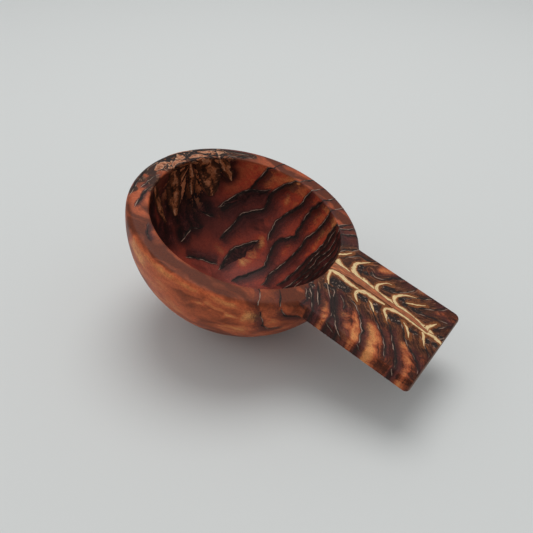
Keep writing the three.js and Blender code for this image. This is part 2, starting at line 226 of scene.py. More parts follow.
NEAR_SCALES = {
    "near_scale_1": [
        [(-0.02, -0.61), (0.05, -0.82), (0.09, -1.03)],
        [(-0.01, -0.5), (0.04, -0.66), (0.1, -0.83), (0.15, -0.97), (0.18, -1.14)],
        [(0.02, -0.37), (0.09, -0.59), (0.15, -0.83)],
    ],
    "near_scale_2": [
        [(0.07, -0.26), (0.14, -0.41), (0.2, -0.59), (0.27, -0.8), (0.34, -1.02), (0.36, -1.12)],
    ],
    "near_scale_3": [
        [(0.14, -0.27), (0.2, -0.46), (0.25, -0.66), (0.31, -0.84), (0.37, -1.0), (0.43, -1.14)],
        [(0.21, -0.3), (0.27, -0.41), (0.31, -0.57)],
    ],
    "near_scale_4": [
        [
            (0.27, -0.23), (0.35, -0.31), (0.41, -0.43), (0.47, -0.59), (0.51, -0.75), (0.54, -0.94),
            (0.58, -1.1),
        ],
    ],
    "near_scale_5": [
        [(0.4, -0.08), (0.48, -0.21), (0.56, -0.38), (0.64, -0.53), (0.69, -0.7), (0.74, -0.91)],
    ],
    "near_scale_6": [
        [
            (0.58, -0.16), (0.65, -0.3), (0.71, -0.48), (0.76, -0.64), (0.81, -0.82), (0.83, -0.93),
            (0.82, -1.03), (0.85, -1.12),
        ],
    ],
    "near_scale_7": [
        [(0.68, -0.03), (0.75, -0.22), (0.82, -0.38), (0.9, -0.52), (0.95, -0.63), (0.98, -0.77)],
    ],
    "near_scale_8": [[(0.84, -0.02), (0.9, -0.14), (0.96, -0.27), (0.995, -0.37)]],
}
FAR_SCALES = {
    "far_scale_1": [
        [(-0.05, 0.62), (-0.02, 0.75), (0.02, 0.85), (0.06, 0.99), (0.08, 1.12)],
        [(0.01, 0.5), (0.04, 0.67), (0.09, 0.8), (0.16, 0.84), (0.25, 0.99), (0.27, 1.1)],
    ],
    "far_scale_2": [
        [(0.24, 0.68), (0.27, 0.62), (0.31, 0.6), (0.35, 0.65), (0.41, 0.79), (0.49, 0.98), (0.51, 1.1)],
    ],
    "far_scale_3": [[(0.4, 0.44), (0.48, 0.51), (0.54, 0.65), (0.6, 0.88), (0.63, 1.02)]],
    "far_scale_4": [[(0.56, 0.46), (0.6, 0.61), (0.67, 0.76), (0.74, 0.92), (0.79, 1.02), (0.81, 1.1)]],
    "far_scale_5": [
        [(0.59, 0.41), (0.65, 0.43), (0.72, 0.41), (0.79, 0.47), (0.87, 0.55), (0.95, 0.63)],
        [(0.7, 0.5), (0.77, 0.65), (0.84, 0.8), (0.9, 0.97)],
    ],
    "far_scale_6": [
        [(0.88, 0.2), (0.91, 0.36), (0.95, 0.52), (0.99, 0.66)],
        [(0.92, 0.12), (0.97, 0.2), (1.0, 0.3)],
    ],
}
# Cindery hollows at the scales' roots: middle along and across, and radius in millimetres.
ROOTS = [
    (0.1, -0.12, 1.7), (0.15, -0.1, 1.8), (0.2, -0.1, 1.5), (0.31, -0.06, 1.2), (0.36, -0.05, 1.2),
    (0.09, -0.3, 1.2), (0.14, -0.28, 1.0), (0.0, -0.5, 1.0), (0.03, -0.62, 1.0), (0.05, -0.76, 0.8),
    (-0.03, -0.4, 0.9), (0.45, -0.03, 0.9), (0.48, -0.1, 0.9), (0.58, -0.07, 1.0), (0.62, -0.06, 1.1),
    (0.66, -0.05, 0.9), (0.76, -0.04, 0.9), (0.8, -0.03, 0.8), (0.9, -0.03, 1.0), (0.96, 0.0, 1.0),
    (0.16, 0.6, 1.3), (0.18, 0.49, 1.0), (0.23, 0.53, 1.0), (0.27, 0.6, 1.0), (0.42, 0.5, 1.0),
    (0.47, 0.55, 1.0), (0.57, 0.5, 1.2), (0.61, 0.42, 0.9), (0.69, 0.44, 0.9), (0.73, 0.47, 0.9),
    (0.92, 0.17, 0.8), (0.97, 0.22, 0.9),
]
# Flames of paler resin on the handle: a route, how far each reaches in millimetres and how strong it is.
HANDLE_FLAMES = [
    ([(-0.03, -0.78), (0.01, -1.0)], 1.0, 0.8),
    ([(0.05, -0.5), (0.08, -0.68)], 0.6, 0.8),
    ([(0.12, -0.5), (0.2, -0.78), (0.25, -1.0)], 1.1, 0.8),
    ([(0.29, -0.5), (0.35, -0.72), (0.41, -0.98)], 1.5, 1.0),
    ([(0.38, -0.4), (0.45, -0.62), (0.49, -0.95)], 1.2, 0.9),
    ([(0.5, -0.48), (0.58, -0.66), (0.64, -0.98)], 1.4, 1.0),
    ([(0.62, -0.36), (0.69, -0.52)], 0.8, 0.7),
    ([(0.76, -0.3), (0.84, -0.55), (0.9, -0.8), (0.92, -1.0)], 1.6, 0.75),
    ([(0.92, -0.4), (1.0, -0.6)], 0.9, 0.6),
    ([(0.3, 0.84), (0.41, 0.95)], 1.1, 0.7),
    ([(0.6, 0.86), (0.7, 0.97)], 1.1, 0.7),
    ([(0.84, 0.72), (0.97, 0.86)], 1.2, 0.55),
    ([(0.13, 0.9), (0.2, 0.98)], 0.7, 0.7),
]
# The same on the cavity's wall and on the outside, as azimuth and depth in degrees.
WALL_FLAMES = [
    ([(95, 47), (94, 54), (95, 59), (101, 69)], 1.7, 1.0),
    ([(92, 55), (92, 64)], 1.4, 0.9),
    ([(93, 4), (94, 9), (93, 18)], 1.1, 0.7),
    ([(57, 15), (55, 20), (52, 26)], 1.1, 0.7),
    ([(71, 41), (69, 45)], 1.0, 0.7),
    ([(123, 10), (120, 16), (119, 22)], 2.6, 0.45),
    ([(109, 2), (109, 6), (110, 12)], 2.4, 0.4),
    ([(123, 45), (125, 54)], 1.4, 0.5),
    ([(74, 10), (73, 19)], 1.0, 0.6),
    ([(72, 27), (71, 36)], 0.9, 0.5),
    ([(52, 32), (51, 38)], 0.9, 0.5),
    ([(146, 61), (137, 66)], 1.2, 0.6),
    ([(101, 30), (101, 39)], 1.2, 0.5),
    ([(48, 3), (50, 8)], 1.5, 0.7),
    ([(36, 16), (37, 24)], 1.0, 0.5),
    ([(144, 36), (141, 40)], 1.1, 0.7),
    ([(64, 56), (68, 64)], 1.0, 0.4),
    ([(84, 6), (88, 20)], 1.3, 0.45),
    ([(66, 4), (68, 14)], 1.2, 0.5),
]
OUTER_FLAMES = [
    ([(-102, 0), (-94, 1)], 1.8, 0.7),
    ([(-80, 1), (-69, 0.5), (-58, 1)], 1.5, 0.9),
    ([(-90, 0), (-83, 0)], 1.3, 0.5),
    ([(-72, 8), (-58, 9.5), (-47, 8)], 1.7, 0.9),
    ([(-60, 21), (-50, 21)], 1.3, 0.8),
    ([(-76, 3), (-57, 3)], 1.0, 0.6),
    ([(-118, 4), (-108, 8)], 2.0, 0.5),
    ([(-90, 22), (-74, 26)], 1.6, 0.5),
]
# The same on the rim, as azimuth and a share of the wall from the cavity outwards.
RIM_FLAMES = [
    ([(59, 0.4), (47, 0.6)], 1.8, 0.7),
    ([(100, 0.6), (80, 0.7)], 1.4, 0.6),
    ([(118, 0.5), (84, 0.5), (50, 0.5)], 4, 0.55),
    ([(-130, 0.4), (-146, 0.2), (-158, 0.1)], 3, 0.9),
]
# Dark bark round the cone's base: azimuth, depth, distance from the rim's centre and radius.
BARK = [
    (172, 2, 26, 5.5), (158, 3, 26, 4.5), (178, 16, 25, 6.5), (165, 20, 25, 7.0), (152, 16, 25, 5.0),
    (178, 34, 25, 5.5), (163, 32, 25, 4.5), (-168, 22, 25, 6.0), (-158, 10, 25, 4.0),
    (-176, 46, 25, 4.0), (146, 8, 25, 4.5), (138, 12, 25, 3.5), (141, 3, 25, 3.5), (-148, 0, 29.8, 1.5),
    (-157, 0, 29.2, 2.0), (-166, 0, 28.8, 2.6), (-175, 0, 28.5, 3.2), (176, 0, 28.2, 3.4),
    (168, 0, 28, 3.4), (160, 0, 28, 3.4), (152, 0, 27.6, 3.0), (145, 0, 27.4, 2.8), (138, 0, 27.2, 2.4),
    (131, 0, 27.2, 2.0), (124, 0, 27.6, 1.4), (-152, 5, 25, 2.5), (-160, 0, 26, 2.6),
    (-150, 14, 25, 4.5), (-146, 24, 25, 5.0), (-156, 36, 25, 5.5), (170, 42, 25, 4.5),
    (154, 34, 25, 3.0), (24, 29, 25, 2.6), (15, 37, 25, 3.2), (29, 42, 25, 2.4), (4, 35, 25, 3.2),
    (-6, 39, 25, 3.4), (19, 46, 25, 2.6), (34, 21, 25, 1.8), (22, 18, 25, 2.0), (8, 46, 25, 3.0),
    (-16, 40, 25, 3.4),
]
# The middle of the cone's base, from which its scales fan out: azimuth and depth.
BASE_MIDDLE = (166, 2)


def length_property(name, description, millimetres):
    return bpy.props.FloatProperty(
        name=name, description=description, default=millimetres * MM, unit="LENGTH",
    )


class ScoopSizes(bpy.types.PropertyGroup):
    """Sizes of the scoop and how it stands."""

    cavity_radius: length_property("Cavity Radius", "Radius of the hollow that holds the coffee", 25)
    wall: length_property("Wall", "Thickness of the bowl's wall", 5.5)
    rim_rounding: length_property("Rim Rounding", "Radius of the rim's outer edge", 1.5)
    handle_length: length_property("Handle Length", "How far the handle reaches past the bowl", 26.3)
    handle_width: length_property("Handle Width", "Width of the handle", 29)
    handle_thickness: length_property("Handle Thickness", "Thickness of the handle", 3.8)
    centre_x: length_property("Bowl Centre", "The bowl's centre along the handle's direction", -11.955)
    lean: bpy.props.FloatProperty(
        name="Lean", description="How far the rim leans towards the handle at rest",
        default=math.radians(16), subtype="ANGLE",
    )


def srgb(red, green, blue):
    """A display colour, each part from 0 to 255, in the shader's own terms."""
    linear = []
    for value in (red, green, blue):
        value /= 255
        linear.append(value / 12.92 if value <= 0.04045 else ((value + 0.055) / 1.055) ** 2.4)
    return (*linear, 1)


def colour_property(name, description, shown):
    """A colour that is first as shown, from 0 to 255."""
    return bpy.props.FloatVectorProperty(
        name=name, description=description, default=srgb(*shown), size=4, min=0, max=1, subtype="COLOR",
    )


class ScoopColours(bpy.types.PropertyGroup):
    """Colours of the resin, the cone and the floor."""

    amber: colour_property("Amber", "The resin on the outside of the bowl", (180, 88, 52))
    # Deep Red is darker than Amber partly as painted shade in the hollow of the bowl
    deep_red: colour_property("Deep Red", "The resin inside the bowl", (148, 63, 50))
    lit_red: colour_property("Lit Red", "The bowl's inside under the rim, lit through", (178, 70, 46))
    pearl: colour_property("Pearl", "The palest swirls in the resin", (226, 156, 92))
    shadow: colour_property("Shadow", "The resin in the shade of a scale", (66, 30, 28))
    scale: colour_property("Scale", "The cut edge of a scale", (20, 13, 11))
    hairline: colour_property("Hairline", "The pale line along a scale", (172, 142, 124))
    wood: colour_property("Wood", "The cream wood of the cone", (214, 184, 134))
    wood_edge: colour_property("Wood Edge", "The wood's brown edge", (156, 90, 46))
    pith: colour_property("Pith", "The cone's core", (152, 84, 48))
    base: colour_property("Base", "The broad scales of the cone's base", (170, 98, 60))
    tip: colour_property("Tip", "The cut ends of the broad scales", (206, 160, 128))
    floor: colour_property("Floor", "The floor under the scoop", (206, 207, 205))


def sizes():
    return bpy.context.scene.scoop_sizes


def colours():
    return bpy.context.scene.scoop_colours


def dimmed(colour, share):
    """A colour times a share, which may be over 1."""
    return (colour[0] * share, colour[1] * share, colour[2] * share, 1)


def between(first, second, share):
    """The colour at this share of the way from the first to the second."""
    mixed = [a + (b - a) * share for a, b in zip(first, second)]
    return (*mixed[:3], 1)


# Places on the scoop, in millimetres from the rim's centre: +X along the handle, +Z up out of the bowl


def in_mm(value):
    return value / MM


def cavity_radius():
    return in_mm(sizes().cavity_radius)


def outer_radius():
    return in_mm(sizes().cavity_radius + sizes().wall)


def handle_reach():
    return outer_radius() + in_mm(sizes().handle_length)


def on_ball(azimuth, depth, radius):
    """Round from the handle's direction and down from the rim, in degrees."""
    turn, drop = math.radians(azimuth), math.radians(depth)
    level = math.cos(drop)
    return Vector((level * math.cos(turn), level * math.sin(turn), -math.sin(drop))) * radius


def on_handle(along, across):
    """along runs from the cavity's edge to the handle's end, across from the middle to its far side."""
    x = cavity_radius() + along * (handle_reach() - cavity_radius())
    return Vector((x, across * in_mm(sizes().handle_width) / 2, 0))


def to_rest():
    """From the rim's frame in millimetres to the standing scoop in metres."""
    height = sizes().cavity_radius + sizes().wall
    place = Matrix.Translation((sizes().centre_x, 0, height))
    return place @ Matrix.Rotation(sizes().lean, 4, "Y") @ Matrix.Scale(MM, 4)


def smooth_route(points, step):
    """Evenly spaced points on a smooth curve through these."""
    knots = [Vector(p) for p in points]
    ends = [2 * knots[0] - knots[1], *knots, 2 * knots[-1] - knots[-2]]
    fine = []
    for before, start, end, after in zip(ends, ends[1:], ends[2:], ends[3:]):
        pieces = max(2, math.ceil((end - start).length / step) * 2)
        for i in range(pieces):
            t = i / pieces
            bend = 2 * before - 5 * start + 4 * end - after
            twist = 3 * start - before - 3 * end + after
            fine.append(0.5 * (2 * start + (end - before) * t + bend * t * t + twist * t ** 3))
    fine.append(knots[-1])
    route = np.array([tuple(p) for p in fine])
    gone = np.concatenate([[0], np.cumsum(np.linalg.norm(np.diff(route, axis=0), axis=1))])
    count = max(2, round(gone[-1] / step) + 1)
    even = np.linspace(0, gone[-1], count)
    return np.stack([np.interp(even, gone, route[:, k]) for k in range(3)], axis=1)


# Making and keeping pieces


def arc(x, y, radius, start, end, steps):
    """Points on an arc round x, y, its angles in radians."""
    angles = [start + (end - start) * i / steps for i in range(steps + 1)]
    return [(x + radius * math.cos(angle), y + radius * math.sin(angle)) for angle in angles]


def spun_bowl():
    """The bowl as a closed turned body: outside, rim and inside in one profile."""
    cavity, outer, rounding = cavity_radius(), outer_radius(), in_mm(sizes().rim_rounding)
    inner_rounding = 0.35
    rings, turn_steps, top_cuts = 84, 336, 10
    low = -math.pi / 2
    shoulder = math.asin(rounding / outer)
    shoulder_radius = outer * math.cos(shoulder)
    profile = arc(0, 0, outer, low, -shoulder, rings)
    profile += arc(shoulder_radius - rounding, -rounding, rounding, 0, math.pi / 2, 5)[1:]
    top_from, top_to = profile[-1][0], cavity + inner_rounding
    for i in range(1, top_cuts + 1):
        profile.append((top_from + (top_to - top_from) * i / top_cuts, 0))
    profile += arc(top_to, -inner_rounding, inner_rounding, math.pi / 2, math.pi, 3)[1:]
    profile += arc(0, 0, cavity, -math.asin(inner_rounding / cavity), low, rings)[1:]
    bm = bmesh.new()
    verts = [bm.verts.new((x, 0, z)) for x, z in profile]
    edges = [bm.edges.new(pair) for pair in zip(verts, verts[1:])]
    bmesh.ops.spin(
        bm, geom=verts + edges, cent=(0, 0, 0), axis=(0, 0, 1),
        angle=2 * math.pi, steps=turn_steps, use_merge=True,
    )
    bmesh.ops.remove_doubles(bm, verts=bm.verts, dist=0.001)
    bmesh.ops.recalc_face_normals(bm, faces=bm.faces)
    return bm


def handle_slab():
    """The flat handle, its arrises eased and its faces cut into small squares."""
    half = in_mm(sizes().handle_width) / 2
    thick = in_mm(sizes().handle_thickness)
    reach = handle_reach()
    inside = (cavity_radius() + outer_radius()) / 2
    near_corner, far_corner, arris, cell = 1.3, 1.8, 0.7, 0.4
    start = math.asin(half / inside)
    quarter = math.pi / 2
    outline = arc(0, 0, inside, start, -start, 24)
    outline += arc(reach - near_corner, near_corner - half, near_corner, -quarter, 0, 5)
    outline += arc(reach - far_corner, half - far_corner, far_corner, 0, quarter, 5)
    bm = bmesh.new()
    face = bm.faces.new([bm.verts.new((x, y, 0)) for x, y in outline])
    sides = bmesh.ops.extrude_face_region(bm, geom=[face])
    low = [v for v in sides["geom"] if isinstance(v, bmesh.types.BMVert)]
    bmesh.ops.translate(bm, verts=low, vec=(0, 0, -thick))
    bmesh.ops.recalc_face_normals(bm, faces=bm.faces)
    bmesh.ops.bevel(
        bm, geom=free_arrises(bm, inside), offset=arris, offset_type="OFFSET", segments=4, profile=0.5,
        affect="EDGES", material=-1,
    )
    margin = 0.2
    x = inside * math.cos(start) + cell
    while x < reach - margin:
        slice_all(bm, (x, 0, 0), (1, 0, 0))
        x += cell
    y = cell - half
    while y < half - margin:
        slice_all(bm, (0, y, 0), (0, 1, 0))
        y += cell
    return bm


def free_arrises(bm, inside):
    """The level edges of the handle that don't lie within the bowl's wall."""
    shown = []
    for edge in bm.edges:
        level = abs(edge.verts[0].co.z - edge.verts[1].co.z) < 0.01
        past = max(v.co.x for v in edge.verts) > inside + 0.01
        if level and past:
            shown.append(edge)
    return shown


def slice_all(bm, point, normal):
    """Cuts the whole mesh with a plane, and keeps both sides."""
    everything = bm.verts[:] + bm.edges[:] + bm.faces[:]
    bmesh.ops.bisect_plane(bm, geom=everything, dist=0.0001, plane_co=point, plane_no=normal)


def loose_object(name, bm):
    mesh = bpy.data.meshes.new(name)
    bm.to_mesh(mesh)
    bm.free()
    made = bpy.data.objects.new(name, mesh)
    bpy.context.scene.collection.objects.link(made)
    return made


def casting_body():
    """The bowl and the handle joined, in the rim's frame."""
    bowl = loose_object("bowl_blank", spun_bowl())
    handle = loose_object("handle_blank", handle_slab())
    join = bowl.modifiers.new("join", "BOOLEAN")
    join.operation = "UNION"
    join.solver = "EXACT"
    join.object = handle
    ready = bowl.evaluated_get(bpy.context.evaluated_depsgraph_get())
    bm = bmesh.new()
    bm.from_mesh(ready.to_mesh())
    ready.to_mesh_clear()
    for blank in (bowl, handle):
        bpy.data.meshes.remove(blank.data)
    mend_seam(bm)
    return bm


def mend_seam(bm):
    """Clears up where the union met: slivers, loose edges and small holes."""
    bmesh.ops.remove_doubles(bm, verts=bm.verts, dist=0.002)
    bmesh.ops.dissolve_degenerate(bm, edges=bm.edges, dist=0.001)
    loose = [edge for edge in bm.edges if not edge.link_faces]
    bmesh.ops.delete(bm, geom=loose, context="EDGES")
    open_edges = [edge for edge in bm.edges if edge.is_boundary]
    bmesh.ops.holes_fill(bm, edges=open_edges, sides=12)


# Routes of the cut scales


def wander(value, seed):
    """A smooth random value from -1 to 1 that changes every millimetre or so along value."""
    return 1.6 * noise.noise(Vector((value, seed * 7.3, seed * 1.9)))


def evened(rows, reach):
    """Each row averaged with its neighbours, this many to either side."""
    window = 2 * reach + 1
    padded = np.pad(rows, ((reach, reach), (0, 0)), mode="edge")
    share = np.full(window, 1 / window)
    return np.stack([np.convolve(padded[:, k], share, mode="valid") for k in range(3)], axis=1)


class Strand:
    """One cut edge of a scale: a torn route over the casting's faces, firm where it shows strongly."""

    count = 0

    def __init__(self, parts, width, reach=3.2, strength=1.0, torn=0.2, wedge=0.0):
        Strand.count += 1
        self.seed = Strand.count
        step = 0.3
        points, ups, firm = [], [], []
        for part, up_of, weight in parts:
            if len(part) < 2:
                continue
            route = smooth_route(part, step)
            points.append(route)
            ups.append(np.array([up_of(p) for p in route]))
            firm.append(np.full(len(route), weight))
        self.points = np.concatenate(points)
        ups = np.concatenate(ups)
        ahead = np.gradient(self.points, axis=0)
        side = np.cross(ups, ahead)
        if wedge:
            side = evened(side, reach=8)
        self.sides = side / np.maximum(np.linalg.norm(side, axis=1), 1e-9)[:, None]
        steps = np.linalg.norm(np.diff(self.points, axis=0), axis=1)
        self.gone = np.concatenate([[0], np.cumsum(steps)])
        spread = 5
        window = 2 * spread + 1
        firm = np.pad(np.concatenate(firm), spread, mode="edge")
        self.firm = np.convolve(firm, np.full(window, 1 / window), mode="valid")
        shift = [wander(g / 1.6, self.seed) + 0.3 * wander(g / 0.7, -self.seed) for g in self.gone]
        self.points = self.points + self.sides * torn * np.array(shift)[:, None]
        self.width, self.reach, self.strength, self.wedge = width, reach, strength, wedge

    def edges(self):
        """How far the cut reaches to either side of the route. It is torn wide on the shaded side."""
        low, high = [], []
        for g, firm in zip(self.gone, self.firm):
            left = min(1, g / 2, (self.gone[-1] - g) / 2)
            size = self.width * (0.12 + 0.88 * left) * (0.35 + 0.65 * firm)
            low.append(-size * (0.2 + 0.06 * wander(g / 0.8, self.seed + 40)))
            swell = math.sin(math.pi * min(1, g / self.gone[-1])) ** 1.5
            full = size * (0.26 + 0.75 * max(0, 0.15 + wander(g / 2.2, self.seed + 80)))
            high.append(full + self.wedge * swell * (1 + 0.12 * wander(g / 1.9, self.seed + 33)))
        return low, high


def up_flat(point):
    return (0, 0, 1)


def up_inside(point):
    return tuple(-np.asarray(point) / np.linalg.norm(point))


def up_outside(point):
    return tuple(np.asarray(point) / np.linalg.norm(point))


def up_side(point):
    return (0, math.copysign(1, point[1]), 0)


def on_wall(azimuth, depth):
    return on_ball(azimuth, depth, cavity_radius())


def on_outside(azimuth, depth):
    return on_ball(azimuth, depth, outer_radius())


def on_rim(azimuth, wall_share):
    return on_ball(azimuth, 0, cavity_radius() + wall_share * in_mm(sizes().wall))


def crossing_strand(rim, wall, width, outer=None):
    """Up the outside, which follows the inside unless it is given, over the rim and down the cavity."""
    outer_azimuth, inner_azimuth = rim
    if outer is None:
        first = wall[0][0]
        shown = [(azimuth, depth) for azimuth, depth in reversed(wall) if depth <= 40]
        outer = [(outer_azimuth + 0.8 * (azimuth - first), depth + 1) for azimuth, depth in shown]
    outside = [on_outside(*place) for place in outer]
    middle_azimuth = (outer_azimuth + inner_azimuth) / 2
    top = [on_rim(outer_azimuth, 1), on_rim(middle_azimuth, 0.5), on_rim(inner_azimuth, 0)]
    inside = [on_wall(azimuth, depth + 0.7) for azimuth, depth in wall]
    return Strand([(outside, up_outside, 0.7), (top, up_flat, 0.4), (inside, up_inside, 1)], width)


def wall_strand(places, width=1, wedge=0):
    return Strand([([on_wall(*place) for place in places], up_inside, 1)], width, wedge=wedge)


def rim_strand(places, width=1):
    return Strand([([on_rim(*place) for place in places], up_flat, 1)], width, reach=1.2)


def handle_strand(places):
    """Over the handle's top and, where the last place is past its edge, down its side."""
    half = in_mm(sizes().handle_width) / 2
    top = [on_handle(*place) for place in places if abs(place[1]) <= 1]
    parts = [(top, up_flat, 1)]
    along, across = places[-1]
    if abs(across) > 1:
        edge = top[-1].copy()
        edge.y = math.copysign(half, edge.y)
        low = on_handle(along, math.copysign(1, across))
        low.z = -(abs(across) - 1) * half
        parts.append(([edge, (edge + low) / 2, low], up_side, 1))
    return Strand(parts, width=0.65, reach=2.2, strength=0.95)


def wood_strand(places):
    return Strand([([on_handle(*place) for place in places], up_flat, 1)], 1, torn=0.08)


def all_strands():
    """Every strand by the name of the piece that it belongs to."""
    strands = {name: [crossing_strand(**spec)] for name, spec in CROSSING_SCALES.items()}
    for table, make in ((LOW_SCALES, wall_strand), (RIM_SCALES, rim_strand)):
        for name, spec in table.items():
            strands[name] = [make(*spec)]
    for table in (NEAR_SCALES, FAR_SCALES):
        for name, routes in table.items():
            strands[name] = [handle_strand(route) for route in routes]
    strands["near_scale_1"].append(crossing_strand(**NECK_CROSSING))
    strands["wall_scale_1"].append(wall_strand(*BLADE))
    for name, spec in THIN_LAYERS.items():
        strands[name].append(wall_strand(*spec))
    return strands


# Fields on the casting: how far each point is from the nearest scale, and what shows in the resin there


def nearest_on(strand, points):
    """Each point's distance to the strand, its side, and how far along and how firm it is there."""
    best = np.full(len(points), 1e9)
    side = np.zeros(len(points))
    along = np.zeros(len(points))
    firm = np.zeros(len(points))
    for k in range(len(strand.points) - 1):
        a, b = strand.points[k], strand.points[k + 1]
        span = b - a
        length = max(float(span @ span), 1e-12)
        t = np.clip((points - a) @ span / length, 0, 1)
        away = points - (a + t[:, None] * span)
        distance = np.sqrt((away * away).sum(axis=1))
        closer = distance < best
        best[closer] = distance[closer]
        side[closer] = np.sign(away[closer] @ strand.sides[k])
        along[closer] = strand.gone[k] + t[closer] * (strand.gone[k + 1] - strand.gone[k])
        firm[closer] = strand.firm[k]
    return best, side, along, firm


def scale_fields(points, strands):
    """Signed distance to the nearest scale, how far along it, and the shade that the scales throw."""
    far, lit_side = 8.0, 0.4
    offset = np.full(len(points), far)
    along = np.zeros(len(points))
    clear = np.ones(len(points))
    everyone = [strand for group in strands.values() for strand in group]
    for number, strand in enumerate(everyone):
        low, high = strand.points.min(axis=0) - far, strand.points.max(axis=0) + far
        near = np.flatnonzero(((points > low) & (points < high)).all(axis=1))
        if not len(near):
            continue
        distance, side, gone, firm = nearest_on(strand, points[near])
        closer = distance < np.abs(offset[near])
        chosen = near[closer]
        offset[chosen] = (distance * side)[closer]
        along[chosen] = gone[closer] + 17 * number
        fall = np.where(side > 0, strand.reach, lit_side)
        ends = np.clip(np.minimum(gone, strand.gone[-1] - gone) / 1.5 + 0.3, 0, 1)
        clear[near] *= 1 - strand.strength * firm * ends * np.exp(-((distance / fall) ** 1.4))
    return {"scale_offset": offset, "scale_along": along, "scale_shade": 1 - clear}


def blob_field(points, blobs):
    """The strongest of some soft round places at each point."""
    field = np.zeros(len(points))
    for place, radius in blobs:
        distance = np.linalg.norm(points - np.array(tuple(place)), axis=1)
        field = np.maximum(field, np.exp(-((distance / radius) ** 2)))
    return field


def flame_field(points):
    """1 along every flame, fading away from it."""
    field = np.zeros(len(points))
    for table, place, up_of in (
        (HANDLE_FLAMES, on_handle, up_flat), (RIM_FLAMES, on_rim, up_flat),
        (WALL_FLAMES, on_wall, up_inside), (OUTER_FLAMES, on_outside, up_outside),
    ):
        for route, size, strength in table:
            strand = Strand([([place(*spot) for spot in route], up_of, 1)], 1)
            field = np.maximum(field, strength * np.exp(-((nearest_on(strand, points)[0] / size) ** 2)))
    return field


def wood_distance(points):
    """Distance to the nearest band of wood."""
    far_off = 30.0
    distance = np.full(len(points), far_off)
    for route, _ in WOOD_BANDS:
        distance = np.minimum(distance, nearest_on(wood_strand(route), points)[0])
    return distance


def base_rays(points):
    """Coordinates round the cone's base, in millimetres: across the rays and along them."""
    middle_azimuth, middle_depth = BASE_MIDDLE
    azimuth = np.degrees(np.arctan2(points[:, 1], points[:, 0])) - middle_azimuth
    azimuth = (azimuth + 180) % 360 - 180
    radius = np.linalg.norm(points, axis=1)
    drop = np.clip(-points[:, 2] / np.maximum(radius, 1e-6), -1, 1)
    depth = np.degrees(np.arcsin(drop)) - middle_depth
    right = np.radians(azimuth) * cavity_radius()
    down = np.radians(depth) * cavity_radius() - (radius - cavity_radius())
    middle_reach = 9
    return np.arctan2(right, down) * middle_reach, np.hypot(right, down)


def casting_fields(points, strands):
    """Everything that the resin's finish reads, at each point of the casting."""
    x, y, z = points.T
    half = in_mm(sizes().handle_width) / 2
    thick = in_mm(sizes().handle_thickness)
    in_handle = (x > outer_radius() * 0.93) & (z > -thick - 0.1) & (abs(y) < half + 0.1)
    # the handle's sides and underside carry on the pattern of its top
    through = points.copy()
    through[in_handle, 2] = 0
    fields = scale_fields(through, strands)
    to_wood = wood_distance(through)
    within_cavity = cavity_radius() + 1 - np.linalg.norm(points, axis=1)
    fields["wood"] = np.exp(-((to_wood / 1.5) ** 2))
    fields["char"] = np.exp(-((to_wood / 3.5) ** 2))
    fields["root"] = blob_field(through, [(on_handle(a, c), size) for a, c, size in ROOTS])
    fields["glow"] = flame_field(through)
    fields["bark"] = blob_field(points, [(on_ball(a, d, r), size) for a, d, r, size in BARK])
    fields["below_rim"] = -z
    fields["inside"] = np.clip((-z - 0.1) / 0.5, 0, 1) * np.clip(within_cavity / 0.6, 0, 1)
    fields["handle"] = np.clip((x - cavity_radius()) / 2, 0, 1) * in_handle
    fields["end"] = np.clip((x - handle_reach() + 0.4) / 0.3, 0, 1)
    fields["ray_across"], fields["ray_along"] = base_rays(points)
    return fields


# Shader building


